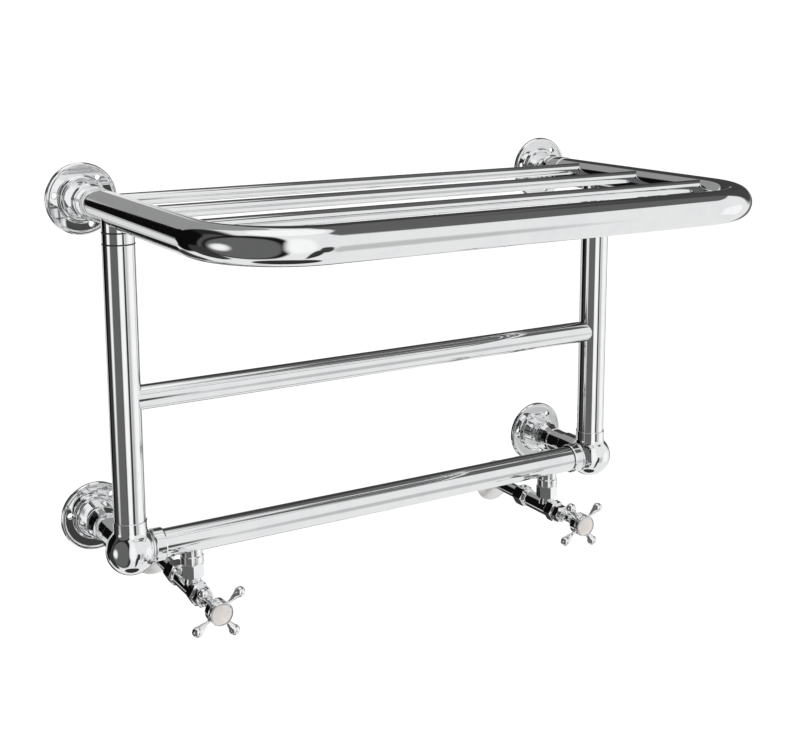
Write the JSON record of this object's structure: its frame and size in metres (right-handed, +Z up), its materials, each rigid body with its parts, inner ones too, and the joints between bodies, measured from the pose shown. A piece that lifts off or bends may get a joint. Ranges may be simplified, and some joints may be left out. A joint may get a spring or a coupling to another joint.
{
  "type": "towel rack",
  "caption": "Wall-hung heated towel rail: tubular shelf with cross bars over two horizontal rails on uprights, ball joints, round wall flanges and crosshead water valves.",
  "frame": {"origin": "on the wall plane, midway between the four wall flanges", "axes": "+X to the right as seen from the front, along the rails; +Y out of the room, into the wall; +Z up"},
  "size_m": [0.657, 0.4358, 0.463],
  "materials": {
    "chrome": "polished chrome plate",
    "brass": "machined brass",
    "satin": "pale satin plate",
    "ceramic": "glazed cream-white ceramic",
    "rubber": "black rubber seal",
    "fibre": "red fibre washer"
  },
  "bodies": {
    "rail": {"shelf_tube": "chrome", "shelf_bar_rear": "chrome", "shelf_bar_middle": "chrome", "shelf_bar_front": "chrome", "arm_stub_left": "chrome", "arm_stub_right": "chrome", "arm_sleeve_left": "chrome", "arm_sleeve_right": "chrome", "sleeve_seals": "rubber", "upright_left": "chrome", "upright_right": "chrome", "middle_rail": "chrome", "lower_rail": "chrome", "ball_joint_left": "chrome", "ball_joint_right": "chrome", "rail_collar_left": "chrome", "rail_collar_right": "chrome", "bracket_stem_left": "chrome", "bracket_stem_right": "chrome", "arm_plug_left": "brass", "arm_plug_right": "brass", "cup_upper_left": "chrome", "cup_upper_right": "chrome", "cup_lower_left": "chrome", "cup_lower_right": "chrome", "flange_upper_left": "chrome", "flange_upper_right": "chrome", "flange_lower_left": "chrome", "flange_lower_right": "chrome", "valve_tail_left": "chrome", "valve_tail_right": "chrome", "union_nut_left": "chrome", "union_nut_right": "chrome", "union_washers": "fibre", "valve_body_left": "chrome", "valve_body_right": "chrome", "inlet_nut_left": "chrome", "inlet_nut_right": "chrome", "inlet_olives": "brass", "supply_pipe_left": "chrome", "supply_pipe_right": "chrome", "pipe_cover_left": "satin", "pipe_cover_right": "satin", "bonnet_left": "chrome", "bonnet_right": "chrome", "gland_nut_left": "chrome", "gland_nut_right": "chrome", "spindle_seals": "rubber", "bleed_body": "chrome"},
    "handle_left": {"cross_handle_left": "chrome", "handle_disc_left": "ceramic", "handle_screw_left": "brass", "spindle_left": "brass"},
    "plug_left": {"valve_plug_left": "brass"},
    "handle_right": {"cross_handle_right": "chrome", "handle_disc_right": "ceramic", "handle_screw_right": "brass", "spindle_right": "brass"},
    "plug_right": {"valve_plug_right": "brass"},
    "bleed": {"bleed_screw": "brass"}
  },
  "joints": [
    {"name": "left_handle_turn", "type": "hinge", "parent": "rail", "child": "handle_left", "pos_m": [-0.227, -0.182, -0.226], "axis": [0, -1, 0], "range_deg": [0, 945]},
    {"name": "left_plug_lift", "type": "slide", "parent": "rail", "child": "plug_left", "axis": [0, -1, 0], "range_m": [0, 0.004]},
    {"name": "right_handle_turn", "type": "hinge", "parent": "rail", "child": "handle_right", "pos_m": [0.227, -0.182, -0.226], "axis": [0, -1, 0], "range_deg": [0, 945]},
    {"name": "right_plug_lift", "type": "slide", "parent": "rail", "child": "plug_right", "axis": [0, -1, 0], "range_m": [0, 0.004]},
    {"name": "bleed_screw_turn", "type": "hinge", "parent": "rail", "child": "bleed", "pos_m": [0.315, -0.076, 0.171], "axis": [1, 0, 0], "range_deg": [0, 180]}
  ],
  "couplings": [
    {"joint": "left_plug_lift", "follows": "left_handle_turn", "m_per_rad": 0.00023873},
    {"joint": "right_plug_lift", "follows": "right_handle_turn", "m_per_rad": 0.00023873}
  ]
}
